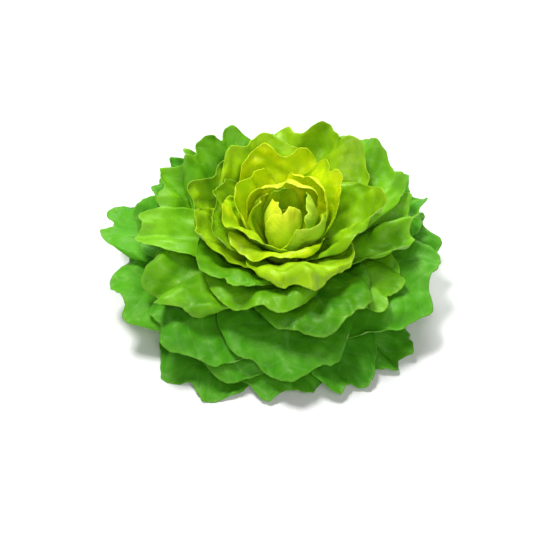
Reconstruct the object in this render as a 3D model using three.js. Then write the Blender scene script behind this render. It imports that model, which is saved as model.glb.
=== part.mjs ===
// A loose head of green butterhead lettuce, cut from the root and standing on its butt.
// Millimetres, +Z up. The origin is the centre of the cut face of the stem, and the head's
// best side faces -Y. Every leaf is a solid blade of its own, set on the short stem in
// growing order: the first leaf is the youngest, at the top of the stem.
import * as THREE from "three";

// Driving dimensions
const CUT_RADIUS = 14; // flat face left by the knife
const STEM_WAIST = 17; // widest radius of the stem, just above the cut
const STEM_HEIGHT = 48;
const OLDEST_LEAF_Z = 9; // where the lowest leaf leaves the stem
const YOUNGEST_LEAF_Z = 44;
const BLADE_THICKNESS = 0.8;
const RIB_THICKNESS = 1.6; // blade and midrib together, at the foot of the oldest leaf
const LEAF_TO_STEM_GAP = 0.4;
const YOUNGEST_FOOT_ANGLE = 6; // degrees from upright where a leaf leaves the stem
const OLDEST_FOOT_ANGLE = 64;

// Shape of every leaf
const FOOT_WRAP = 0.3; // radians of the stem that the foot clasps, either side of the midrib
const FOOT_LENGTH = 0.35; // share of the length over which the foot opens into the blade
const WAIST_WIDTH = 0.3; // share of the full width just above the foot
const FULL_WIDTH_AT = 0.8; // share of the length where the leaf is widest
const SQUARENESS = 4; // of the tip: 2 makes rim and sides one round arc, and more fills its corners
const ROUNDING = 1 / (1 + SQUARENESS / 2); // at which the sides run smoothly into the rim
const FOOT_HANDLE = 0.4; // share of the foot-to-rim distance that each end runs straight on
const RIM_HANDLE = 0.34;
const WIDEST_WRAP = 1.4; // radians of turn round the stem, either side of the midrib
const LOBE_DEPTH = 0.04; // how far the rim runs in and out, as a share of the length
const DENTS_FROM = 0.15; // share of the length where the dents begin
const RUFFLE_FROM = 0.45; // share of the length where the ruffle begins
const CURL_FROM = 0.8; // share of the length where the rim begins to curl
const CURL = 3; // how far the rim of a full-sized leaf turns away from the heart
const FULL_SIZE = 46; // half the width of a full-sized leaf
const FINE_WAVE = 0.3; // height of the finer waves, as a share of the broad ones
const CRUMPLE = 0.6; // height of the dents over the whole blade, as a share of the broad waves
const DENTS = [[2.3, 1.1, 3], [-0.9, 1.6, 2]]; // two trains of waves: across, along, turns of phase
const RIB_WIDTH = 0.4; // share of the half-width
const RIM_CROWDING = 1.2; // over 1 sets the mesh rows closer together near the rim

// Packing of the leaves
const PIVOT = new THREE.Vector3(0, 0, 10); // the leaves open about this point in the stem
const RING_STEP = 2.5; // distance from the pivot that one ring of cells covers
const RINGS = 64;
const SPOKES = 144; // cells in a ring
const SAMPLES = 6; // across and along each mesh cell
const CLEARANCE = 2.7; // between the middle surfaces of two leaves
const GROUND_GAP = 1; // least height of a leaf's middle surface
const SETTLE_ROUNDS = 80;
const OLDER_YIELDS = 0.5; // share of a clash that the outer leaf gives way by, each round
const YOUNGER_YIELDS = 0.3;
const SMOOTHING = 0.3; // how far a point's shift is drawn to that of the points round it
const LAST_SMOOTHING = 0.08;
const LAST_ROUNDS_FROM = 48;

// Each row: name, bearing of the midrib (degrees, 0 towards -Y, 90 towards +X), reach and rise
// of the rim from the origin, half the width, tilt of the rim (degrees from upright, over 90
// droops), waves across the rim, their height and where they begin (degrees).
const LEAVES = [
  ["heart_1", -30, 6, 76, 10, -15, 1, 0.5, 0],
  ["heart_2", 170, 9, 80, 14, -15, 1, 0.8, 140],
  ["heart_3", -70, 9, 97, 18, -40, 1, 0.8, 280],
  ["heart_4", 15, 10, 96, 20, -45, 1, 1, 50],
  ["heart_5", 185, 20, 95, 20, -10, 1, 2, 190],
  ["heart_6", 82, 23, 98, 26, -40, 1, 2, 330],
  ["heart_7", -110, 24, 94, 19, -30, 1.5, 2, 110],
  ["heart_8", 186, 9, 104, 30, -100, 1.5, 3, 240],
  ["heart_9", 48, 32, 96, 32, -25, 1.5, 2.5, 20],
  ["heart_10", 137, 31, 103, 28, -50, 1.5, 3, 160],
  ["heart_11", -130, 36, 102, 30, -15, 1.5, 3.5, 290],
  ["heart_12", -62, 46, 103, 44, 35, 2, 3, 70],
  ["heart_13", 122, 45, 107, 32, 10, 2, 4, 210],
  ["heart_14", 186, 50, 109, 42, -10, 1.5, 4.5, 340],
  ["heart_15", -18, 53, 91, 48, 95, 1.5, 4.5, 240],
  ["inner_1", -95, 54, 98, 42, 10, 1.5, 3.5, 250],
  ["inner_2", 86, 72, 105, 46, 20, 1.3, 5, 30],
  ["inner_3", -160, 62, 113, 46, 30, 1.5, 5, 170],
  ["inner_4", 18, 77, 84, 46, 140, 1.35, 7, 306],
  ["inner_5", -72, 70, 93, 38, 35, 1.5, 3.5, 80],
  ["inner_6", 151, 78, 114, 55, 25, 2, 6, 30],
  ["inner_7", -112, 58, 106, 46, 10, 1.5, 5, 0],
  ["middle_1", -42, 78, 84, 48, 70, 1.3, 4, 130],
  ["middle_2", 133, 102, 99, 50, 40, 1, 6, 270],
  ["middle_3", -86, 106, 80, 30, 75, 1.2, 4, 40],
  ["middle_4", -20, 87, 70, 60, 105, 1, 5, 180],
  ["middle_5", -143, 94, 100, 48, 30, 2, 4.5, 320],
  ["middle_6", 103, 104, 74, 48, 70, 2.5, 5, 90],
  ["middle_7", 22, 99, 57, 56, 110, 1, 5, 230],
  ["middle_8", -124, 104, 88, 50, 50, 2, 4.5, 10],
  ["middle_9", 158, 110, 72, 55, 55, 1.5, 5, 140],
  ["middle_10", -61, 114, 58, 47, 110, 2, 6.5, 90],
  ["middle_11", 60, 98, 54, 42, 100, 1, 5, 60],
  ["middle_12", -170, 108, 75, 55, 50, 1.5, 5, 200],
  ["outer_1", -102, 112, 78, 48, 60, 1.2, 4, 330],
  ["outer_2", 118, 120, 64, 48, 70, 2, 4, 110],
  ["outer_3", 2, 112, 23, 66, 115, 1.2, 5, 250],
  ["outer_4", -138, 118, 74, 50, 60, 2, 4, 20],
  ["outer_5", 72, 123, 42, 64, 95, 1.2, 6, 160],
  ["outer_6", -45, 124, 37, 52, 110, 1.2, 5, 290],
  ["outer_7", 172, 122, 42, 60, 80, 1.5, 6, 70],
  ["outer_8", 100, 121, 50, 52, 85, 1.5, 6, 210],
  ["outer_9", -27, 114, 25, 55, 110, 1, 5, 340],
  ["outer_10", -106, 144, 47, 44, 80, 1, 3, 160],
  ["outer_11", 138, 124, 30, 60, 90, 1.5, 6, 260],
  ["outer_12", 28, 118, 12, 38, 105, 1, 5, 40],
  ["outer_13", -76, 134, 40, 54, 95, 1.2, 5, 180],
  ["outer_14", -148, 128, 34, 62, 90, 1.5, 6, 310],
  ["outer_15", 50, 118, 8, 36, 100, 2, 5, 90],
  ["outer_16", -4, 114, 7, 48, 100, 1.2, 4, 230],
  ["outer_17", -178, 118, 12, 60, 95, 1.5, 5, 0],
  ["outer_18", -38, 128, 7, 55, 100, 1.2, 5, 140],
];

// Mesh steps across and along a leaf, by the first word of its name, and that leaf's colour
const KINDS = {
  heart: { across: 8, along: 5, colour: 0xb9d416 },
  inner: { across: 10, along: 6, colour: 0x86b81c },
  middle: { across: 10, along: 6, colour: 0x62a01c },
  outer: { across: 12, along: 6, colour: 0x4b8c28 },
};
const STEM_COLOUR = 0xdfe8b8;
const STEM_SIDES = 24;
const STEM_ROUGHNESS = 0.6;
const LEAF_ROUGHNESS = 0.45;

const radians = THREE.MathUtils.degToRad;
const { clamp, euclideanModulo, lerp, smoothstep } = THREE.MathUtils;

// The stem tapers from its waist to a rounded growing tip.
const stemProfile = [
  [0, 0],
  [CUT_RADIUS, 0],
  [STEM_WAIST - 1, 3],
  [STEM_WAIST, OLDEST_LEAF_Z],
  [11, 26],
  [6, 38],
  [3.4, YOUNGEST_LEAF_Z],
  [1.6, STEM_HEIGHT - 1],
  [0, STEM_HEIGHT],
].map(([radius, height]) => new THREE.Vector2(radius, height));

function stemRadius(height) {
  const above = stemProfile.findIndex((point, i) => i > 1 && point.y >= height);
  const [low, high] = [stemProfile[above - 1], stemProfile[above]];
  return lerp(low.x, high.x, (height - low.y) / (high.y - low.y));
}

const upright = (degrees) => new THREE.Vector2(Math.sin(radians(degrees)), Math.cos(radians(degrees)));

// The midrib in the half-plane of its bearing: x is the distance from the axis and y the height.
function midrib(age, reach, rise, rimTilt) {
  const footZ = lerp(YOUNGEST_LEAF_Z, OLDEST_LEAF_Z, age);
  const foot = new THREE.Vector2(stemRadius(footZ) + LEAF_TO_STEM_GAP + RIB_THICKNESS / 2, footZ);
  const rim = new THREE.Vector2(reach, rise);
  const span = foot.distanceTo(rim);
  const footAngle = lerp(YOUNGEST_FOOT_ANGLE, OLDEST_FOOT_ANGLE, age);
  return new THREE.CubicBezierCurve(
    foot,
    upright(footAngle).multiplyScalar(FOOT_HANDLE * span).add(foot),
    upright(rimTilt).multiplyScalar(-RIM_HANDLE * span).add(rim),
    rim,
  );
}

// The middle surface of a leaf as a grid of points, before it meets its neighbours. Across the
// leaf u runs from -1 to 1, and from foot to rim v runs from 0 to 1.
function growLeaf([name, bearing, reach, rise, halfWidth, rimTilt, waves, swell, start], order) {
  const kind = KINDS[name.split("_")[0]];
  const age = order / (LEAVES.length - 1);
  const rib = midrib(age, reach, rise, rimTilt);
  const phase = radians(start);
  const size = Math.min(1, halfWidth / FULL_SIZE);
  const points = [];
  for (let j = 0; j <= kind.along; j++) {
    const v = 1 - (1 - j / kind.along) ** RIM_CROWDING;
    for (let i = 0; i <= kind.across; i++) {
      const u = (2 * i) / kind.across - 1;
      const lobes = 1 + LOBE_DEPTH * size * Math.sin(Math.PI * (waves + 1) * u - phase);
      const along = v * (lobes - 1 + Math.sqrt(1 - ROUNDING * Math.abs(u) ** SQUARENESS));
      const point = rib.getPoint(along);
      const tangent = rib.getTangent(Math.min(along, 1));
      const width = lerp(WAIST_WIDTH, 1, smoothstep(v, 0, FULL_WIDTH_AT));
      const tip = Math.sqrt(1 - ROUNDING * v ** SQUARENESS);
      const blade = Math.min(WIDEST_WRAP, (halfWidth * width * tip) / point.x);
      const wrap = lerp(FOOT_WRAP, blade, smoothstep(v, 0, FOOT_LENGTH));
      const broad = Math.sin(Math.PI * waves * u + phase);
      const fine = FINE_WAVE * Math.sin(Math.PI * (2 * waves - 1) * u + 2 * phase);
      const ruffle = swell * (broad + fine) * smoothstep(v, RUFFLE_FROM, 1);
      const dents = DENTS.reduce((product, [across, along, turn]) => {
        return product * Math.sin(Math.PI * (across * u + along * v) + turn * phase);
      }, 1);
      const crumple = CRUMPLE * swell * dents * smoothstep(v, DENTS_FROM, RUFFLE_FROM);
      const outward = ruffle + crumple + CURL * size * smoothstep(v, CURL_FROM, 1);
      const angle = radians(bearing) + u * wrap;
      const radius = point.x + outward * tangent.y;
      const height = point.y - outward * tangent.x;
      points.push(new THREE.Vector3(radius * Math.sin(angle), -radius * Math.cos(angle), height));
    }
  }
  return { name, kind, points, age };
}

// Leaves are packed in polar form about a point inside the stem: how far out a point is, which
// way it bears, and how far it has opened from upright. A leaf is then a sheet of openings, and
// an older leaf lies wholly at the larger openings.
function toPolar(leaf) {
  leaf.polar = leaf.points.map((point) => {
    const arm = point.clone().sub(PIVOT);
    const out = arm.length();
    const bearing = euclideanModulo(Math.atan2(arm.x, -arm.y), 2 * Math.PI);
    return { out, bearing, opening: Math.acos(arm.z / out), shift: 0 };
  });
}

function fromPolar(leaf) {
  leaf.points = leaf.polar.map(({ out, bearing, opening, shift }) => {
    const open = opening + shift;
    const radius = out * Math.sin(open);
    const [x, y] = [radius * Math.sin(bearing), -radius * Math.cos(bearing)];
    return new THREE.Vector3(x, y, out * Math.cos(open)).add(PIVOT);
  });
}

const cellOf = (ring, spoke) => ring * SPOKES + euclideanModulo(spoke, SPOKES);
const ringOf = (out) => Math.min(RINGS - 1, Math.floor(out / RING_STEP));
const spokeOf = (bearing) => Math.floor((bearing / (2 * Math.PI)) * SPOKES);

// The least and greatest opening of a leaf in every cell that it covers.
function coverage(leaf) {
  const least = new Float32Array(RINGS * SPOKES).fill(Infinity);
  const greatest = new Float32Array(RINGS * SPOKES).fill(-Infinity);
  const row = leaf.kind.across + 1;
  for (let j = 0; j < leaf.kind.along; j++) {
    for (let i = 0; i < leaf.kind.across; i++) {
      const corners = [0, 1, row, row + 1].map((step) => leaf.polar[j * row + i + step]);
      const turns = corners.map(({ bearing }) => {
        const turn = bearing - corners[0].bearing;
        return turn - 2 * Math.PI * Math.round(turn / (2 * Math.PI));
      });
      for (let k = 0; k < SAMPLES * SAMPLES; k++) {
        const [s, t] = [(k % SAMPLES) / (SAMPLES - 1), Math.floor(k / SAMPLES) / (SAMPLES - 1)];
        const blend = ([a, b, c, d]) => lerp(lerp(a, b, s), lerp(c, d, s), t);
        const ring = ringOf(blend(corners.map(({ out }) => out)));
        const cell = cellOf(ring, spokeOf(corners[0].bearing + blend(turns)));
        const opening = blend(corners.map((corner) => corner.opening + corner.shift));
        least[cell] = Math.min(least[cell], opening);
        greatest[cell] = Math.max(greatest[cell], opening);
      }
    }
  }
  return { least, greatest };
}

// Neighbouring leaves press each other apart until every blade has room, and none goes below
// the ground. The feet stay where they grow.
function settle(leaves) {
  leaves.forEach(toPolar);
  for (let round = 0; round < SETTLE_ROUNDS; round++) {
    const cover = leaves.map(coverage);
    const younger = new Float32Array(RINGS * SPOKES).fill(-Infinity);
    const inside = cover.map(({ greatest }) => {
      const before = younger.slice();
      greatest.forEach((opening, cell) => (younger[cell] = Math.max(younger[cell], opening)));
      return before;
    });
    const older = new Float32Array(RINGS * SPOKES).fill(Infinity);
    const outside = [];
    for (let order = leaves.length - 1; order >= 0; order--) {
      outside[order] = older.slice();
      cover[order].least.forEach((opening, cell) => (older[cell] = Math.min(older[cell], opening)));
    }
    leaves.forEach((leaf, order) => press(leaf, inside[order], outside[order], round));
  }
  leaves.forEach(fromPolar);
}

// One round for one leaf, between the widest of the younger leaves and the closest of the older.
function press(leaf, inside, outside, round) {
  const row = leaf.kind.across + 1;
  leaf.polar.forEach((point, k) => {
    if (k < row) return;
    const [ring, spoke] = [ringOf(point.out), spokeOf(point.bearing)];
    const gap = CLEARANCE / point.out;
    const open = point.opening + point.shift;
    let [wider, closer] = [0, 0];
    for (let dr = -1; dr <= 1; dr++) {
      for (let ds = -1; ds <= 1; ds++) {
        const cell = cellOf(clamp(ring + dr, 0, RINGS - 1), spoke + ds);
        wider = Math.max(wider, inside[cell] + gap - open);
        closer = Math.max(closer, open - outside[cell] + gap);
      }
    }
    const lowest = Math.acos(Math.max(-1, (GROUND_GAP - PIVOT.z) / point.out));
    const pressed = point.shift + OLDER_YIELDS * wider - YOUNGER_YIELDS * closer;
    point.next = Math.min(pressed, lowest - point.opening);
  });
  const smooth = round < LAST_ROUNDS_FROM ? SMOOTHING : LAST_SMOOTHING;
  leaf.polar.forEach((point, k) => {
    if (k < row) return;
    const near = [k % row > 0 ? k - 1 : k, k % row < row - 1 ? k + 1 : k, k - row, k + row];
    const around = near.map((n) => leaf.polar[n]?.next ?? leaf.polar[k].next);
    const mean = around.reduce((sum, shift) => sum + shift, 0) / around.length;
    point.shift = lerp(point.next, mean, smooth);
  });
}

// A closed blade round the points of a leaf. Both faces are split into the same triangles.
function bladeGeometry({ points, age, kind: { across, along } }) {
  const row = across + 1;
  const at = (i, j) => points[clamp(j, 0, along) * row + clamp(i, 0, across)];
  const faces = [[], []];
  points.forEach((centre, k) => {
    const [i, j] = [k % row, Math.floor(k / row)];
    const acrossIt = at(i + 1, j).clone().sub(at(i - 1, j));
    const alongIt = at(i, j + 1).clone().sub(at(i, j - 1));
    const fromRib = ((2 * i) / across - 1) / RIB_WIDTH;
    const rib = age * (1 - j / along) ** 2 * Math.exp(-fromRib * fromRib);
    const half = lerp(BLADE_THICKNESS, RIB_THICKNESS, rib) / 2;
    const normal = acrossIt.cross(alongIt).setLength(half);
    faces[0].push(...centre.clone().add(normal).toArray());
    faces[1].push(...centre.clone().sub(normal).toArray());
  });
  const count = points.length;
  const index = [];
  for (let j = 0; j < along; j++) {
    for (let i = 0; i < across; i++) {
      const a = j * row + i;
      const [b, c, d] = [a + 1, a + row + 1, a + row];
      index.push(a, b, c, a, c, d);
      index.push(a + count, c + count, b + count, a + count, d + count, c + count);
    }
  }
  const edge = [];
  for (let i = 0; i < across; i++) edge.push(i);
  for (let j = 0; j < along; j++) edge.push(j * row + across);
  for (let i = across; i > 0; i--) edge.push(along * row + i);
  for (let j = along; j > 0; j--) edge.push(j * row);
  edge.forEach((from, k) => {
    const to = edge[(k + 1) % edge.length];
    index.push(from, from + count, to + count, from, to + count, to);
  });
  return new THREE.BufferGeometry()
    .setAttribute("position", new THREE.Float32BufferAttribute(faces.flat(), 3))
    .setIndex(index);
}

function finish(colour, roughness) {
  return new THREE.MeshStandardMaterial({ color: colour, roughness, metalness: 0 });
}

const head = new THREE.Group();

const stemGeometry = new THREE.LatheGeometry(stemProfile, STEM_SIDES).rotateX(Math.PI / 2);
const stem = new THREE.Mesh(stemGeometry, finish(STEM_COLOUR, STEM_ROUGHNESS));
stem.name = "stem";
head.add(stem);

const leaves = LEAVES.map(growLeaf);
settle(leaves);
for (const leaf of leaves) {
  const mesh = new THREE.Mesh(bladeGeometry(leaf), finish(leaf.kind.colour, LEAF_ROUGHNESS));
  mesh.name = `leaf_${leaf.name}`;
  head.add(mesh);
}

export default head;
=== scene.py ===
"""The looks of a loose head of green butterhead lettuce, standing on its cut stem.

Metres, +Z up. The origin is the centre of the cut face, and the side seen in the photograph faces -Y.
Each leaf of the frame is replaced by a finer one that grows from the same figures, with frills, notches,
blisters, puckers between its veins and a midrib added.
"""

import math
from collections import namedtuple

import bpy
import numpy as np
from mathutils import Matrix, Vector, noise


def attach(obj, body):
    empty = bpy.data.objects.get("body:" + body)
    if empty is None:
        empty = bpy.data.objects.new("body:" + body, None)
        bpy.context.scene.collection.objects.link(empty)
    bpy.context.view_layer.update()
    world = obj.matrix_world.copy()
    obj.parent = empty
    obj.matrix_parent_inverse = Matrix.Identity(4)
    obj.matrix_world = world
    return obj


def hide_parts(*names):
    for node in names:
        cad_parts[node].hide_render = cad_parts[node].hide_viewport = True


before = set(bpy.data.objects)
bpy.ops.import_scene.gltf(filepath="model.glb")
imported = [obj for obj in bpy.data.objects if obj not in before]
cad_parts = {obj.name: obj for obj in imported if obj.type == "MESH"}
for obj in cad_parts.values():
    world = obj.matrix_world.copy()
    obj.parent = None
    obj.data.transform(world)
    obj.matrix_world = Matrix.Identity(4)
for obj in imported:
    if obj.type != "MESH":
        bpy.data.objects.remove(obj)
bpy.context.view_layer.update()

MM = 0.001

# Stem
CUT_RADIUS = 14 * MM
OLDEST_LEAF_Z = 9 * MM
YOUNGEST_LEAF_Z = 44 * MM
STEM_OUTLINE = np.array([(16, 3), (17, 9), (11, 26), (6, 38), (3.4, 44), (1.6, 47)]) * MM  # radius, height
STEM_SIDES = 48
STEM_CREASE = math.radians(40)  # edges that bend more than this stay sharp
CUT_BEVEL = 0.7 * MM
CUT_BEVEL_STEPS = 3

# Shape of every leaf. Its length runs from 0 at the foot to 1 at the rim.
ROWS = 48  # mesh steps from foot to rim
COLUMNS = 80  # mesh steps across
RIM_CROWDING = 1.2  # more than 1 brings the steps closer together at the rim
YOUNGEST_FOOT_ANGLE = 6  # degrees from upright where a leaf leaves the stem
OLDEST_FOOT_ANGLE = 64
FOOT_OFF_STEM = 1.2 * MM
FOOT_WRAP = 0.3  # radians of the stem that the foot clasps, either side of the midrib
FOOT_LENGTH = 0.35  # shares of the leaf's length
FULL_WIDTH_AT = 0.8
DENTS_FROM = 0.15
RUFFLE_FROM = 0.45
CURL_FROM = 0.8
WAIST_WIDTH = 0.3  # share of the full width just above the foot
SQUARENESS = 4  # of the tip: 2 makes the rim and the sides one round arc, and more fills its corners
ROUNDING = 1 / (1 + SQUARENESS / 2)  # at which the sides run smoothly into the rim
FOOT_HANDLE = 0.4  # shares of the foot-to-rim distance
RIM_HANDLE = 0.34
WIDEST_WRAP = 1.4  # radians
LOBE_DEPTH = 0.04  # share of the length
FINE_WAVE = 0.3  # height of the finer waves, as a share of the broad ones'
CRUMPLE = 0.6  # height of the dents over the whole blade, as a share of the waves'
DENTS = [(2.3, 1.1, 3), (-0.9, 1.6, 2)]  # two trains of waves: across, along, turns of phase
CURL = 3 * MM  # how far the rim turns away from the heart

# Finer forms, at full height on a leaf of the usual half width or more
USUAL_HALF_WIDTH = 46 * MM
RIM_NOTCHES = [(3.2, 0.025), (9.0, 0.014)]  # uneven notches in a half width, depth as a share of the length
TIP_RISE = 0.16  # how far the middle of the smallest rims stands out, as a share of the length
FRILLS = [(2.6, 2.0 * MM, 0.5), (6.5, 1.3 * MM, 0.75)]  # uneven waves in a half width, height, start
FRILL_CHANGE = 2  # uneven waves of the frills from the leaf's foot to its rim
FRILL_LAYER = 0.5  # keeps the frills' noise apart from the notches'
VEIN_STEP = 0.115  # share of the length between side veins
VEIN_SLANT = 0.42  # how far up the leaf a side vein runs on its way to the edge
VEIN_STAGGER = 0.5  # steps between the veins left and right of the midrib
PUCKER = 0.45 * MM  # height of the blade between two side veins
PUCKERS_FULL_AT = 0.25  # share of the half width
RELIEF_FROM = 0.15  # shares of the length, for the puckers and blisters
RELIEF_FULL_AT = 0.5
BLISTERS = [(17 * MM, 2.8 * MM), (8 * MM, 1.3 * MM)]  # size and height of the uneven swellings
BLISTER_PAINTED_LIGHT = 0.22  # painted light and shade: how much lighter the top of a swelling is, and darker its hollow, as a share of the leaf's tones
TINY_LENGTH = 1e-12  # keeps a division off zero

# Thickness of a leaf
BLADE = 0.45 * MM
RIB = 2.6 * MM  # at the foot of the oldest leaf's midrib
YOUNGEST_RIB = 0.5  # share of that on the youngest leaf
RIB_FOOT_SPREAD = 0.9  # shares of the half width that the midrib thickens
RIB_RIM_SPREAD = 0.07
RIB_NARROW_AT = 0.6  # share of the length
RIB_TAPER = 1.5  # power by which the midrib thins towards the rim

# Packing of the leaves
PIVOT = np.array((0, 0, 10 * MM))
RING_STEP = 2.5 * MM
RINGS = 64
SPOKES = 144
CLEARANCE = 2.4 * MM
GROUND_GAP = 0.8 * MM
LOWEST_BLADE = 0.6 * MM  # least height of a blade's upper face once its blisters are raised
SETTLE_ROUNDS = 80
LAST_ROUNDS_FROM = 48
FIRST_SOFTENINGS = 4  # in each round
LAST_SOFTENINGS = 1
OLDER_YIELDS = 0.5
YOUNGER_YIELDS = 0.3

# Each row: name, bearing of the midrib (degrees, 0 towards -Y, 90 towards +X), reach and rise of the rim
# and half the width (mm), tilt of the rim (degrees from upright), waves across the rim, their height (mm)
# and where they begin (degrees). The youngest leaf comes first.
LEAF_ROWS = [
    ("heart_1", -30, 6, 76, 10, -15, 1, 0.5, 0),
    ("heart_2", 170, 9, 80, 14, -15, 1, 0.8, 140),
    ("heart_3", -70, 9, 97, 18, -40, 1, 0.8, 280),
    ("heart_4", 15, 10, 96, 20, -45, 1, 1, 50),
    ("heart_5", 185, 20, 95, 20, -10, 1, 2, 190),
    ("heart_6", 82, 23, 98, 26, -40, 1, 2, 330),
    ("heart_7", -110, 24, 94, 19, -30, 1.5, 2, 110),
    ("heart_8", 186, 9, 104, 30, -100, 1.5, 3, 240),
    ("heart_9", 48, 32, 96, 32, -25, 1.5, 2.5, 20),
    ("heart_10", 137, 31, 103, 28, -50, 1.5, 3, 160),
    ("heart_11", -130, 36, 102, 30, -15, 1.5, 3.5, 290),
    ("heart_12", -62, 46, 103, 44, 35, 2, 3, 70),
    ("heart_13", 122, 45, 107, 32, 10, 2, 4, 210),
    ("heart_14", 186, 50, 109, 42, -10, 1.5, 4.5, 340),
    ("heart_15", -18, 53, 91, 48, 95, 1.5, 4.5, 240),
    ("inner_1", -95, 54, 98, 42, 10, 1.5, 3.5, 250),
    ("inner_2", 86, 72, 105, 46, 20, 1.3, 5, 30),
    ("inner_3", -160, 62, 113, 46, 30, 1.5, 5, 170),
    ("inner_4", 18, 77, 84, 46, 140, 1.35, 7, 306),
    ("inner_5", -72, 70, 93, 38, 35, 1.5, 3.5, 80),
    ("inner_6", 151, 78, 114, 55, 25, 2, 6, 30),
    ("inner_7", -112, 58, 106, 46, 10, 1.5, 5, 0),
    ("middle_1", -42, 78, 84, 48, 70, 1.3, 4, 130),
    ("middle_2", 133, 102, 99, 50, 40, 1, 6, 270),
    ("middle_3", -86, 106, 80, 30, 75, 1.2, 4, 40),
    ("middle_4", -20, 87, 70, 60, 105, 1, 5, 180),
    ("middle_5", -143, 94, 100, 48, 30, 2, 4.5, 320),
    ("middle_6", 103, 104, 74, 48, 70, 2.5, 5, 90),
    ("middle_7", 22, 99, 57, 56, 110, 1, 5, 230),
    ("middle_8", -124, 104, 88, 50, 50, 2, 4.5, 10),
    ("middle_9", 158, 110, 72, 55, 55, 1.5, 5, 140),
    ("middle_10", -61, 114, 58, 47, 110, 2, 6.5, 90),
    ("middle_11", 60, 98, 54, 42, 100, 1, 5, 60),
    ("middle_12", -170, 108, 75, 55, 50, 1.5, 5, 200),
    ("outer_1", -102, 112, 78, 48, 60, 1.2, 4, 330),
    ("outer_2", 118, 120, 64, 48, 70, 2, 4, 110),
    ("outer_3", 2, 112, 23, 66, 115, 1.2, 5, 250),
    ("outer_4", -138, 118, 74, 50, 60, 2, 4, 20),
    ("outer_5", 72, 123, 42, 64, 95, 1.2, 6, 160),
    ("outer_6", -45, 124, 37, 52, 110, 1.2, 5, 290),
    ("outer_7", 172, 122, 42, 60, 80, 1.5, 6, 70),
    ("outer_8", 100, 121, 50, 52, 85, 1.5, 6, 210),
    ("outer_9", -27, 114, 25, 55, 110, 1, 5, 340),
    ("outer_10", -106, 144, 47, 44, 80, 1, 3, 160),
    ("outer_11", 138, 124, 30, 60, 90, 1.5, 6, 260),
    ("outer_12", 28, 118, 12, 38, 105, 1, 5, 40),
    ("outer_13", -76, 134, 40, 54, 95, 1.2, 5, 180),
    ("outer_14", -148, 128, 34, 62, 90, 1.5, 6, 310),
    ("outer_15", 50, 118, 8, 36, 100, 2, 5, 90),
    ("outer_16", -4, 114, 7, 48, 100, 1.2, 4, 230),
    ("outer_17", -178, 118, 12, 60, 95, 1.5, 5, 0),
    ("outer_18", -38, 128, 7, 55, 100, 1.2, 5, 140),
]
Leaf = namedtuple("Leaf", "name bearing reach rise half_width rim_tilt waves swell phase")
LEAVES = [Leaf(*row) for row in LEAF_ROWS]

# Colours of the blade by kind of leaf: deep green, light green, rim (a paler margin, partly painted
# highlight), foot. Linear red, green, blue.
LEAF_COLOURS = {
    "heart": ((0.17, 0.46, 0.002), (0.80, 0.90, 0.002), (0.66, 0.80, 0.06), (0.60, 0.70, 0.08)),
    "inner": ((0.11, 0.33, 0.002), (0.36, 0.60, 0.004), (0.48, 0.70, 0.06), (0.50, 0.62, 0.08)),
    "middle": ((0.04, 0.23, 0.001), (0.18, 0.48, 0.004), (0.34, 0.58, 0.06), (0.42, 0.58, 0.14)),
    "outer": ((0.03, 0.22, 0.003), (0.09, 0.38, 0.008), (0.22, 0.48, 0.04), (0.38, 0.53, 0.14)),
}
LEAF_ROUGHNESS = {
    "heart": (0.32, 0.42),
    "inner": (0.32, 0.42),
    "middle": (0.38, 0.5),
    "outer": (0.44, 0.58),
}
BACK_PALENESS = {"heart": 0.12, "inner": 0.4, "middle": 0.4, "outer": 0.4}

# How light or yellow a leaf is for its kind, from 0 to 1. Leaves that aren't named are halfway.
TONES = {
    "heart_1": 0.3, "heart_2": 0.2, "heart_3": 1, "heart_4": 1, "heart_5": 0.2, "heart_6": 0.4,
    "heart_7": 0.4, "heart_8": 1, "heart_9": 0.35, "heart_10": 1, "heart_11": 0.7, "heart_12": 0.3,
    "heart_13": 0.6, "heart_14": 0.8, "heart_15": 0.35, "inner_1": 0.4, "inner_2": 0.4, "inner_3": 1,
    "inner_4": 0.9, "inner_5": 0.8, "inner_6": 0.6, "inner_7": 0.3, "middle_2": 0.8, "middle_3": 0.9,
    "middle_6": 0.8, "middle_7": 0, "outer_5": 0.7, "outer_10": 0.9, "outer_12": 0.3, "outer_13": 0.9,
    "outer_18": 0.4,
}
USUAL_TONE = 0.5

# Finish of the leaves. A ramp gives where a smooth step starts and ends, and its values there (0 and 1
# unless given). A noise gives its scale (for each metre) and its detail.
SIDE_VEIN_LINE = (0.0, 0.14, 1.0, 0.0)  # ramp by steps from the middle of a vein
SIDE_VEIN_FADE = (0.45, 0.95, 1.0, 0.15)  # ramp across the leaf
SIDE_VEIN_STRENGTH = 0.55  # shares of the midrib's
RIB_LINE_WIDTH = (0.05, 0.9, 0.16, 0.015)  # ramp along the leaf
RIB_LINE = (0.35, 1.0, 1.0, 0.0)  # ramp by share of the rib's width
RIB_FADE = (0.6, 0.97, 1.0, 0.0)  # ramp along the leaf
NET_SCALE = 230  # cells of the vein net, for each metre
NET_LINE = (0.0, 0.12, 1.0, 0.0)  # ramp by share of a cell
NET_STRENGTH = 0.18
PATCH_NOISE = (48, 3)
PATCH_EDGE = (0.32, 0.68)  # ramp of the noise
PATCH_SHARE = 0.3  # of the green's lightness
TONE_SHARE = 0.7
PALE_GREEN = (0.75, 0.88, 0.45)
PALE_SHARE = 0.5  # of it in the light green of veins and backs
VEIN_PALENESS = 0.12
FOOT_FADE = (0.02, 0.35, 0.9, 0.0)  # ramp along the leaf
# Paler band at the rim and sides: partly the leaf's paler margin, partly painted highlight.
RIM_BAND = (0.96, 1.0)  # ramp along the leaf
SIDE_BAND = (0.97, 1.0)  # ramp across the leaf
RIM_AND_HIGHLIGHT_STRENGTH = 0.2
GRAIN_NOISE = (380, 2)
GRAIN_RANGE = (0.3, 0.7)
LEAF_SUBSURFACE = 0.15
LEAF_SCATTER = (0.5, 1.0, 0.15)
LEAF_SCATTER_DEPTH = 1.2 * MM
LEAF_SPECULAR = 0.3
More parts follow.
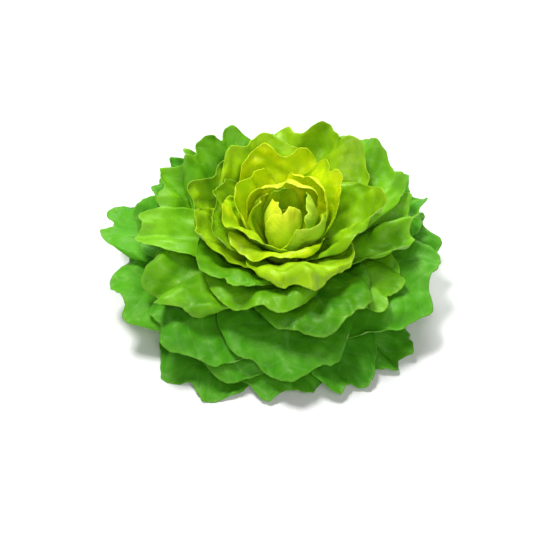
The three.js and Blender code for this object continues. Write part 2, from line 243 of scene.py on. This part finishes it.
LEAF_SPECULAR_TINT = (0.9, 1.0, 0.55, 1.0)
BUMP_STRENGTH = 0.35
BUMP_DEPTH = 0.5 * MM
VEIN_BUMP = 0.4
GRAIN_BUMP = 0.5

# Finish of the stem. Ramps by distance from the axis count in radii of the cut face.
STREAK_NOISE = (160, 4)
STREAK_EDGE = (0.35, 0.7)  # ramp of the noise
STREAK_ROUGHNESS = (0.0, 1.0, 0.45, 0.65)  # ramp of the streaks
FLESH_SHADED = (0.60, 0.68, 0.38)
FLESH_PALE = (0.78, 0.80, 0.62)
VESSELS_INSIDE = (0.58, 0.68)  # ramps by distance from the axis
VESSELS_OUTSIDE = (0.7, 0.8, 1.0, 0.0)
VESSEL_STRENGTH = 0.55
VESSEL_COLOUR = (0.36, 0.48, 0.14)
SKIN_BAND = (0.92, 1.0)  # ramp by distance from the axis
SKIN_STRENGTH = 0.6
SKIN_COLOUR = (0.40, 0.55, 0.18)
STAIN_RISE = (0.0, CUT_BEVEL, 0.5, 0.0)  # ramp by height
STAIN_NOISE = (90, 5)
STAIN_EDGE = (0.4, 0.7)  # ramp of the noise
STAIN_COLOUR = (0.34, 0.19, 0.07)
FLESH_SUBSURFACE = 0.2
FLESH_SCATTER_DEPTH = 2 * MM

# Floor
FLOOR_SIZE = 8
FLOOR_NOISE = (9, 2)
FLOOR_EDGE = (0.2, 0.8)  # ramp of the noise
FLOOR_SHADED = (0.9, 0.9, 0.9)
FLOOR_PALE = (0.93, 0.93, 0.93)
FLOOR_ROUGHNESS = 0.9

# Camera and light. Each light: name, place, aim, size, watts.
CAMERA_AIM = Vector((-0.0127, -0.0281, 0.0589))
CAMERA_ELEVATION = 45
CAMERA_DISTANCE = 1.3
CAMERA_LENS = 113.8
LIGHTS = [
    ("overhead", (-0.4, 0.2, 1.5), (0, 0, 0.05), 0.4, 20),
    ("sheen", (0.2, 1.1, 1.15), (0, 0, 0.08), 0.45, 14),
    ("front", (0.25, -1.4, 1.3), (0, 0, 0.05), 0.9, 13),
]
WORLD_COLOUR = (1, 1, 1, 1)
WORLD_STRENGTH = 0.18


def smoothstep(x, low, high):
    t = np.clip((x - low) / (high - low), 0, 1)
    return t * t * (3 - 2 * t)


def lerp(a, b, t):
    return a + (b - a) * t


def crowded(share):
    """A place along a leaf for an even share of its mesh steps."""
    return 1 - (1 - share) ** RIM_CROWDING


def leaf_grid():
    """Places across a leaf, from -1 to 1 in one row, and along it, from foot to rim in one column."""
    across = np.linspace(-1, 1, COLUMNS + 1)[None, :]
    along = crowded(np.linspace(0, 1, ROWS + 1))[:, None]
    return across, along


def age_of(order):
    """The age of a leaf by its place in the table, from 0 for the youngest to 1 for the oldest."""
    return order / (len(LEAVES) - 1)


def size_of(row):
    """How much of the finer forms a leaf carries: narrow leaves carry less."""
    return min(1, row.half_width * MM / USUAL_HALF_WIDTH)


def upright(degrees):
    """A step outwards and up, at an angle from upright."""
    return np.array((math.sin(math.radians(degrees)), math.cos(math.radians(degrees))))


def midrib(age, reach, rise, rim_tilt):
    """The four points of the midrib's curve, as distance from the axis and height."""
    foot_z = lerp(YOUNGEST_LEAF_Z, OLDEST_LEAF_Z, age)
    stem_radius = np.interp(foot_z, STEM_OUTLINE[:, 1], STEM_OUTLINE[:, 0])
    foot = np.array((stem_radius + FOOT_OFF_STEM, foot_z))
    rim = np.array((reach, rise))
    span = np.linalg.norm(rim - foot)
    foot_angle = lerp(YOUNGEST_FOOT_ANGLE, OLDEST_FOOT_ANGLE, age)
    rising = foot + upright(foot_angle) * FOOT_HANDLE * span
    arriving = rim - upright(rim_tilt) * RIM_HANDLE * span
    return foot, rising, arriving, rim


def on_curve(points, t):
    a, b, c, d = points
    t = t[..., None]
    return (1 - t) ** 3 * a + 3 * (1 - t) ** 2 * t * b + 3 * (1 - t) * t**2 * c + t**3 * d


def along_curve(points, t):
    a, b, c, d = points
    t = np.clip(t, 0, 1)[..., None]
    slope = (1 - t) ** 2 * (b - a) + 2 * (1 - t) * t * (c - b) + t**2 * (d - c)
    return slope / np.linalg.norm(slope, axis=-1, keepdims=True)


def uneven(x, y, z):
    """Smooth noise from about -1 to 1 at each pair of x and y."""
    return np.array([noise.noise((a, b, z)) for a, b in zip(x.flat, y.flat)]).reshape(x.shape)


def grow_leaf(order, row):
    """The middle surface of a leaf before it meets its neighbours: an array of rows of points."""
    size = size_of(row)
    phase = math.radians(row.phase)
    curve = midrib(age_of(order), row.reach * MM, row.rise * MM, row.rim_tilt)
    u, v = leaf_grid()
    lobes = 1 + LOBE_DEPTH * size * np.sin(math.pi * (row.waves + 1) * u - phase)
    for count, depth in RIM_NOTCHES:
        lobes = lobes + size * depth * uneven(count * u, 0 * u, order)
    lobes = lobes + TIP_RISE * (1 - size) * (1 - u**2)
    along = v * (lobes - 1 + np.sqrt(1 - ROUNDING * np.abs(u) ** SQUARENESS))
    point = on_curve(curve, along)
    tangent = along_curve(curve, along)
    width = lerp(WAIST_WIDTH, 1, smoothstep(v, 0, FULL_WIDTH_AT))
    tip = np.sqrt(1 - ROUNDING * v**SQUARENESS)
    blade = np.minimum(WIDEST_WRAP, row.half_width * MM * width * tip / point[..., 0])
    wrap = lerp(FOOT_WRAP, blade, smoothstep(v, 0, FOOT_LENGTH))
    broad = np.sin(math.pi * row.waves * u + phase)
    fine = FINE_WAVE * np.sin(math.pi * (2 * row.waves - 1) * u + 2 * phase)
    outward = row.swell * MM * (broad + fine) * smoothstep(v, RUFFLE_FROM, 1)
    outward = outward + CURL * size * smoothstep(v, CURL_FROM, 1)
    dents = 1
    for across, up, turn in DENTS:
        dents = dents * np.sin(math.pi * (across * u + up * v) + turn * phase)
    outward = outward + CRUMPLE * row.swell * MM * dents * smoothstep(v, DENTS_FROM, RUFFLE_FROM)
    for count, height, start in FRILLS:
        frill = uneven(count * u + 0 * v, FRILL_CHANGE * v + 0 * u, order + FRILL_LAYER)
        outward = outward + size * height * frill * smoothstep(v, start, 1)
    angle = math.radians(row.bearing) + u * wrap
    radius = point[..., 0] + outward * tangent[..., 1]
    height = point[..., 1] - outward * tangent[..., 0]
    return np.stack((radius * np.sin(angle), -radius * np.cos(angle), height), axis=-1)


def widen(cells, pick):
    """Spreads each cell's value to the cells round it, with pick as np.maximum or np.minimum."""
    cells = pick(cells, pick(np.roll(cells, 1, axis=2), np.roll(cells, -1, axis=2)))
    spread = cells.copy()
    spread[:, 1:] = pick(spread[:, 1:], cells[:, :-1])
    spread[:, :-1] = pick(spread[:, :-1], cells[:, 1:])
    return spread


def soften(shift):
    """Each shift averaged with those beside it, along and across the leaf."""
    for axis in (1, 2):
        ends = [(0, 0)] * 3
        ends[axis] = (1, 1)
        padded = np.pad(shift, ends, mode="edge")
        before = np.take(padded, range(shift.shape[axis]), axis)
        after = np.take(padded, range(2, shift.shape[axis] + 2), axis)
        shift = (before + 2 * shift + after) / 4
    return shift


def settle(leaves):
    """Neighbouring leaves press each other apart about the pivot, until every blade has room."""
    arm = leaves - PIVOT
    out = np.linalg.norm(arm, axis=-1)
    bearing = np.arctan2(arm[..., 0], -arm[..., 1]) % (2 * math.pi)
    opening = np.arccos(arm[..., 2] / out)
    ring = np.minimum(RINGS - 1, (out / RING_STEP).astype(int))
    spoke = (bearing / (2 * math.pi) * SPOKES).astype(int) % SPOKES
    leaf = np.arange(len(leaves))[:, None, None] + 0 * ring
    lowest = np.arccos(np.clip((GROUND_GAP - PIVOT[2]) / out, -1, 1)) - opening
    gap = CLEARANCE / out
    shift = np.zeros_like(opening)
    for turn in range(SETTLE_ROUNDS):
        opened = opening + shift
        least = np.full((len(leaves), RINGS, SPOKES), np.inf)
        greatest = np.full_like(least, -np.inf)
        np.minimum.at(least, (leaf, ring, spoke), opened)
        np.maximum.at(greatest, (leaf, ring, spoke), opened)
        inside = np.full_like(least, -np.inf)
        inside[1:] = np.maximum.accumulate(widen(greatest, np.maximum))[:-1]
        outside = np.full_like(least, np.inf)
        outside[:-1] = np.minimum.accumulate(widen(least, np.minimum)[::-1])[::-1][1:]
        wider = np.maximum(0, inside[leaf, ring, spoke] + gap - opened)
        closer = np.maximum(0, opened - outside[leaf, ring, spoke] + gap)
        shift = np.minimum(shift + OLDER_YIELDS * wider - YOUNGER_YIELDS * closer, lowest)
        for _ in range(FIRST_SOFTENINGS if turn < LAST_ROUNDS_FROM else LAST_SOFTENINGS):
            shift = soften(shift)
        shift[:, 0] = 0
    opened = opening + shift
    radius = out * np.sin(opened)
    turned = np.stack((radius * np.sin(bearing), -radius * np.cos(bearing), out * np.cos(opened)), axis=-1)
    return turned + PIVOT


def face_normals(points):
    across = np.gradient(points, axis=1)
    along = np.gradient(points, axis=0)
    normal = np.cross(across, along)
    return normal / np.maximum(np.linalg.norm(normal, axis=-1, keepdims=True), TINY_LENGTH)


def relief(row, points):
    """Puckers between the side veins and uneven blisters, raised towards the heart side.

    Gives the raised points, and how far each one is up a blister, which the leaf's colour uses as painted
    light on the tops and painted shade in the hollows.
    """
    u, v = leaf_grid()
    vein = (v - VEIN_SLANT * np.abs(u) + VEIN_STAGGER * VEIN_STEP * (u > 0)) / VEIN_STEP
    pucker = np.sqrt(np.abs(np.sin(math.pi * vein))) * smoothstep(np.abs(u), 0, PUCKERS_FULL_AT)
    fade = smoothstep(v, RELIEF_FROM, RELIEF_FULL_AT)
    height = PUCKER * pucker
    blister_painted_light = 0
    for spread, rise in BLISTERS:
        blister = np.array([noise.noise(Vector(point) / spread) for point in points.reshape(-1, 3)])
        blister = blister.reshape(points.shape[:2])
        height = height + rise * blister
        blister_painted_light = blister_painted_light + blister
    raised = points - face_normals(points) * (size_of(row) * fade * height)[..., None]
    raised[..., 2] = np.maximum(raised[..., 2], LOWEST_BLADE)
    return raised, fade * blister_painted_light


def deselect():
    bpy.ops.object.select_all(action="DESELECT")


def make_active(piece):
    deselect()
    piece.select_set(True)
    bpy.context.view_layer.objects.active = piece


def leaf_blank():
    """A flat grid that every leaf is shaped from, with a map of the leaf and the thickness of its rib."""
    deselect()
    bpy.ops.mesh.primitive_grid_add(x_subdivisions=COLUMNS, y_subdivisions=ROWS, size=2)
    blank = bpy.context.object
    bpy.ops.object.mode_set(mode="EDIT")
    bpy.ops.mesh.select_all(action="SELECT")
    bpy.ops.mesh.flip_normals()
    bpy.ops.object.mode_set(mode="OBJECT")
    mesh = blank.data
    rib = blank.vertex_groups.new(name="rib")
    for vertex in mesh.vertices:
        u, y, _ = vertex.co
        v = crowded((y + 1) / 2)
        spread = lerp(RIB_FOOT_SPREAD, RIB_RIM_SPREAD, smoothstep(v, 0, RIB_NARROW_AT))
        thickness = math.exp(-((u / spread) ** 2)) * (1 - v) ** RIB_TAPER
        rib.add([vertex.index], float(thickness), "REPLACE")
    uv_map = mesh.uv_layers.active.data
    for loop in mesh.loops:
        x, y, _ = mesh.vertices[loop.vertex_index].co
        uv_map[loop.index].uv = ((x + 1) / 2, crowded((y + 1) / 2))
    return blank


def make_leaf(blank, order, row, points, blister_painted_light):
    """One leaf on the blank's grid: its points set, its blade thickened and its node replaced."""
    name = row.name
    kind = name.split("_")[0]
    leaf = blank.copy()
    leaf.data = blank.data.copy()
    leaf.name = leaf.data.name = "lettuce_" + name
    bpy.context.collection.objects.link(leaf)
    leaf.data.vertices.foreach_set("co", points.reshape(-1))
    # The tone attribute: the leaf's own tone plus painted light on blister tops and painted shade in their
    # hollows.
    tone = leaf.data.attributes.new("tone", "FLOAT", "POINT")
    tone.data.foreach_set("value", (TONES.get(name, USUAL_TONE) + BLISTER_PAINTED_LIGHT * blister_painted_light).reshape(-1))
    leaf.data.materials.append(bpy.data.materials[kind + "_leaf_face"])
    leaf.data.materials.append(bpy.data.materials[kind + "_leaf_back"])
    make_active(leaf)
    blade = leaf.modifiers.new("blade", "SOLIDIFY")
    blade.thickness = lerp(YOUNGEST_RIB, 1, age_of(order)) * RIB
    blade.vertex_group = "rib"
    blade.thickness_vertex_group = BLADE / blade.thickness
    blade.offset = -1
    blade.material_offset = 1
    bpy.ops.object.modifier_apply(modifier=blade.name)
    bpy.ops.object.shade_smooth()
    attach(leaf, "root")
    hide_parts("leaf_" + name)


def make_stem():
    """The stem, drawn up ring by ring from its cut face, with a bevelled cut edge."""
    deselect()
    bpy.ops.mesh.primitive_circle_add(vertices=STEM_SIDES, radius=CUT_RADIUS, fill_type="NGON")
    stem = bpy.context.object
    stem.name = stem.data.name = "lettuce_stem"
    bpy.ops.object.mode_set(mode="EDIT")
    bpy.ops.mesh.select_all(action="SELECT")
    radius = CUT_RADIUS
    height = 0
    for next_radius, next_height in STEM_OUTLINE:
        bpy.ops.mesh.extrude_region_move(TRANSFORM_OT_translate={"value": (0, 0, next_height - height)})
        scale = next_radius / radius
        bpy.ops.transform.resize(value=(scale, scale, 1), center_override=(0, 0, next_height))
        radius = next_radius
        height = next_height
    bpy.ops.mesh.select_all(action="SELECT")
    bpy.ops.mesh.normals_make_consistent(inside=False)
    bpy.ops.object.mode_set(mode="OBJECT")
    bevel = stem.modifiers.new("cut edge", "BEVEL")
    bevel.width = CUT_BEVEL
    bevel.segments = CUT_BEVEL_STEPS
    bevel.limit_method = "ANGLE"
    bpy.ops.object.modifier_apply(modifier=bevel.name)
    stem.data.materials.append(bpy.data.materials["stem_flesh"])
    bpy.ops.object.shade_smooth_by_angle(angle=STEM_CREASE)
    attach(stem, "root")
    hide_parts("stem")


def new_finish(name):
    finish = bpy.data.materials.new(name)
    finish.use_nodes = True
    return finish.node_tree, finish.node_tree.nodes["Principled BSDF"]


def object_place(tree):
    return tree.nodes.new("ShaderNodeTexCoord").outputs["Object"]


def feed(tree, socket, value):
    """Links a socket's value, or sets a plain one."""
    if isinstance(value, bpy.types.NodeSocket):
        tree.links.new(value, socket)
    else:
        socket.default_value = value


def sums(tree, operation, first, second=0.0):
    node = tree.nodes.new("ShaderNodeMath")
    node.operation = operation
    feed(tree, node.inputs[0], first)
    feed(tree, node.inputs[1], second)
    return node.outputs[0]


def times(tree, first, second):
    return sums(tree, "MULTIPLY", first, second)


def ramp(tree, value, low, high, start=0.0, end=1.0):
    """A smooth step from start to end as the value goes from low to high."""
    node = tree.nodes.new("ShaderNodeMapRange")
    node.interpolation_type = "SMOOTHSTEP"
    for socket, given in zip(node.inputs, (value, low, high, start, end)):
        feed(tree, socket, given)
    return node.outputs[0]


def mix(tree, amount, first, second):
    """A mix of two colours, whose sockets come after those for numbers and vectors."""
    node = tree.nodes.new("ShaderNodeMix")
    node.data_type = "RGBA"
    feed(tree, node.inputs[0], amount)
    for socket, colour in zip(node.inputs[6:8], (first, second)):
        feed(tree, socket, colour if isinstance(colour, bpy.types.NodeSocket) else (*colour, 1))
    return node.outputs[2]


def speckle(tree, place, scale, detail):
    node = tree.nodes.new("ShaderNodeTexNoise")
    tree.links.new(place, node.inputs["Vector"])
    node.inputs["Scale"].default_value = scale
    node.inputs["Detail"].default_value = detail
    return node.outputs["Fac"]


def leaf_veins(tree, place, along, across, right):
    """The midrib, the side veins and a fine net between them, from 0 to 1."""
    slanted = sums(tree, "SUBTRACT", along, times(tree, across, VEIN_SLANT))
    stagger = times(tree, right, VEIN_STAGGER)
    step = sums(tree, "ADD", sums(tree, "DIVIDE", slanted, VEIN_STEP), stagger)
    side_veins = ramp(tree, sums(tree, "PINGPONG", step, 0.5), *SIDE_VEIN_LINE)
    side_veins = times(tree, side_veins, ramp(tree, across, *SIDE_VEIN_FADE))
    rib_width = ramp(tree, along, *RIB_LINE_WIDTH)
    rib = ramp(tree, sums(tree, "DIVIDE", across, rib_width), *RIB_LINE)
    rib = times(tree, rib, ramp(tree, along, *RIB_FADE))
    net = tree.nodes.new("ShaderNodeTexVoronoi")
    net.feature = "DISTANCE_TO_EDGE"
    net.inputs["Scale"].default_value = NET_SCALE
    tree.links.new(place, net.inputs["Vector"])
    net_veins = ramp(tree, net.outputs["Distance"], *NET_LINE)
    side_veins = times(tree, side_veins, SIDE_VEIN_STRENGTH)
    net_veins = times(tree, net_veins, NET_STRENGTH)
    return sums(tree, "MAXIMUM", rib, sums(tree, "MAXIMUM", side_veins, net_veins))


def leaf_finish(kind, side):
    """Blade colours (with painted light and shade on the blisters), veins, a paler rim (partly painted
    highlight) and foot, and fine grain. The back is paler, with raised veins.
    """
    tree, shader = new_finish(kind + "_leaf_" + side)
    back = side == "back"
    deep, light, rim_and_highlight_colour, foot_colour = LEAF_COLOURS[kind]
    place = object_place(tree)
    leaf_map = tree.nodes.new("ShaderNodeSeparateXYZ")
    tree.links.new(tree.nodes.new("ShaderNodeUVMap").outputs[0], leaf_map.inputs[0])
    along = leaf_map.outputs[1]
    from_midrib = sums(tree, "SUBTRACT", leaf_map.outputs[0], 0.5)
    across = sums(tree, "ABSOLUTE", times(tree, from_midrib, 2.0))
    right = sums(tree, "GREATER_THAN", leaf_map.outputs[0], 0.5)
    veins = leaf_veins(tree, place, along, across, right)
    tone = tree.nodes.new("ShaderNodeAttribute")
    tone.attribute_name = "tone"

    patches = times(tree, ramp(tree, speckle(tree, place, *PATCH_NOISE), *PATCH_EDGE), PATCH_SHARE)
    # Mix towards the light green by random patches and the tone attribute, which carries painted light and
    # shade on the blisters.
    tone_patches_and_painted_light = sums(tree, "ADD", patches, times(tree, tone.outputs["Fac"], TONE_SHARE))
    colour = mix(tree, tone_patches_and_painted_light, deep, light)
    pale = [lerp(a, b, PALE_SHARE) for a, b in zip(light, PALE_GREEN)]
    if back:
        colour = mix(tree, BACK_PALENESS[kind], colour, pale)
    colour = mix(tree, times(tree, veins, VEIN_PALENESS), colour, pale)
    colour = mix(tree, ramp(tree, along, *FOOT_FADE), colour, foot_colour)
    # Paler rim and sides: partly the real margin, partly painted highlight.
    edge = sums(tree, "MAXIMUM", ramp(tree, along, *RIM_BAND), ramp(tree, across, *SIDE_BAND))
    colour = mix(tree, times(tree, edge, RIM_AND_HIGHLIGHT_STRENGTH), colour, rim_and_highlight_colour)
    tree.links.new(colour, shader.inputs["Base Color"])

    grain = speckle(tree, place, *GRAIN_NOISE)
    tree.links.new(ramp(tree, grain, *GRAIN_RANGE, *LEAF_ROUGHNESS[kind]), shader.inputs["Roughness"])
    shader.inputs["Subsurface Weight"].default_value = LEAF_SUBSURFACE
    shader.inputs["Subsurface Radius"].default_value = LEAF_SCATTER
    shader.inputs["Subsurface Scale"].default_value = LEAF_SCATTER_DEPTH
    shader.inputs["Specular IOR Level"].default_value = LEAF_SPECULAR
    shader.inputs["Specular Tint"].default_value = LEAF_SPECULAR_TINT
    bump = tree.nodes.new("ShaderNodeBump")
    bump.invert = not back
    bump.inputs["Strength"].default_value = BUMP_STRENGTH
    bump.inputs["Distance"].default_value = BUMP_DEPTH
    height = sums(tree, "ADD", times(tree, veins, VEIN_BUMP), times(tree, grain, GRAIN_BUMP))
    tree.links.new(height, bump.inputs["Height"])
    tree.links.new(bump.outputs[0], shader.inputs["Normal"])


def stem_finish():
    """Pale flesh with a ring of vessels round the pith, a greener skin and brown stains on the cut face."""
    tree, shader = new_finish("stem_flesh")
    place = object_place(tree)
    axes = tree.nodes.new("ShaderNodeSeparateXYZ")
    tree.links.new(place, axes.inputs[0])
    x, y, z = axes.outputs
    from_axis = sums(tree, "SQRT", sums(tree, "ADD", times(tree, x, x), times(tree, y, y)))
    from_axis = sums(tree, "DIVIDE", from_axis, CUT_RADIUS)
    streaks = ramp(tree, speckle(tree, place, *STREAK_NOISE), *STREAK_EDGE)
    colour = mix(tree, streaks, FLESH_SHADED, FLESH_PALE)
    vessels = times(tree, ramp(tree, from_axis, *VESSELS_INSIDE), ramp(tree, from_axis, *VESSELS_OUTSIDE))
    colour = mix(tree, times(tree, vessels, VESSEL_STRENGTH), colour, VESSEL_COLOUR)
    skin = ramp(tree, from_axis, *SKIN_BAND)
    colour = mix(tree, times(tree, skin, SKIN_STRENGTH), colour, SKIN_COLOUR)
    spots = ramp(tree, speckle(tree, place, *STAIN_NOISE), *STAIN_EDGE)
    stain = times(tree, ramp(tree, z, *STAIN_RISE), spots)
    colour = mix(tree, stain, colour, STAIN_COLOUR)
    tree.links.new(colour, shader.inputs["Base Color"])
    tree.links.new(ramp(tree, streaks, *STREAK_ROUGHNESS), shader.inputs["Roughness"])
    shader.inputs["Subsurface Weight"].default_value = FLESH_SUBSURFACE
    shader.inputs["Subsurface Scale"].default_value = FLESH_SCATTER_DEPTH


def floor_finish():
    tree, shader = new_finish("floor_paper")
    shade = ramp(tree, speckle(tree, object_place(tree), *FLOOR_NOISE), *FLOOR_EDGE)
    tree.links.new(mix(tree, shade, FLOOR_SHADED, FLOOR_PALE), shader.inputs["Base Color"])
    shader.inputs["Roughness"].default_value = FLOOR_ROUGHNESS


def make_floor():
    deselect()
    bpy.ops.mesh.primitive_plane_add(size=FLOOR_SIZE)
    floor = bpy.context.object
    floor.name = "floor"
    floor.data.materials.append(bpy.data.materials["floor_paper"])


def make_light(name, place, aim, size, watts):
    lamp = bpy.data.lights.new(name, "AREA")
    lamp.size = size
    lamp.energy = watts
    light = bpy.data.objects.new(name, lamp)
    light.location = place
    light.rotation_euler = (Vector(aim) - Vector(place)).to_track_quat("-Z", "Y").to_euler()
    bpy.context.collection.objects.link(light)


def make_world():
    world = bpy.data.worlds.new("studio")
    world.use_nodes = True
    background = world.node_tree.nodes["Background"]
    background.inputs["Color"].default_value = WORLD_COLOUR
    background.inputs["Strength"].default_value = WORLD_STRENGTH
    bpy.context.scene.world = world
    bpy.context.scene.view_settings.view_transform = "Standard"


def make_camera():
    camera = bpy.data.objects.new("camera", bpy.data.cameras.new("camera"))
    camera.data.lens = CAMERA_LENS
    lean = math.radians(CAMERA_ELEVATION)
    camera.location = CAMERA_AIM + CAMERA_DISTANCE * Vector((0, -math.cos(lean), math.sin(lean)))
    camera.rotation_euler = (math.pi / 2 - lean, 0, 0)
    bpy.context.collection.objects.link(camera)
    bpy.context.scene.camera = camera


for kind in LEAF_COLOURS:
    leaf_finish(kind, "face")
    leaf_finish(kind, "back")
stem_finish()
floor_finish()

# The leaves settle smooth, then again once their blisters are raised, so that no two cross
grown = np.array([grow_leaf(order, row) for order, row in enumerate(LEAVES)])
smooth = settle(grown)
# relief also gives each leaf's painted light and shade for its blisters.
raised, blister_painted_lights = zip(*[relief(row, points) for row, points in zip(LEAVES, smooth)])
settled = settle(np.array(raised))
blank = leaf_blank()
for order, row in enumerate(LEAVES):
    make_leaf(blank, order, row, settled[order], blister_painted_lights[order])
bpy.data.objects.remove(blank)
make_stem()

make_floor()
for light in LIGHTS:
    make_light(*light)
make_world()
make_camera()
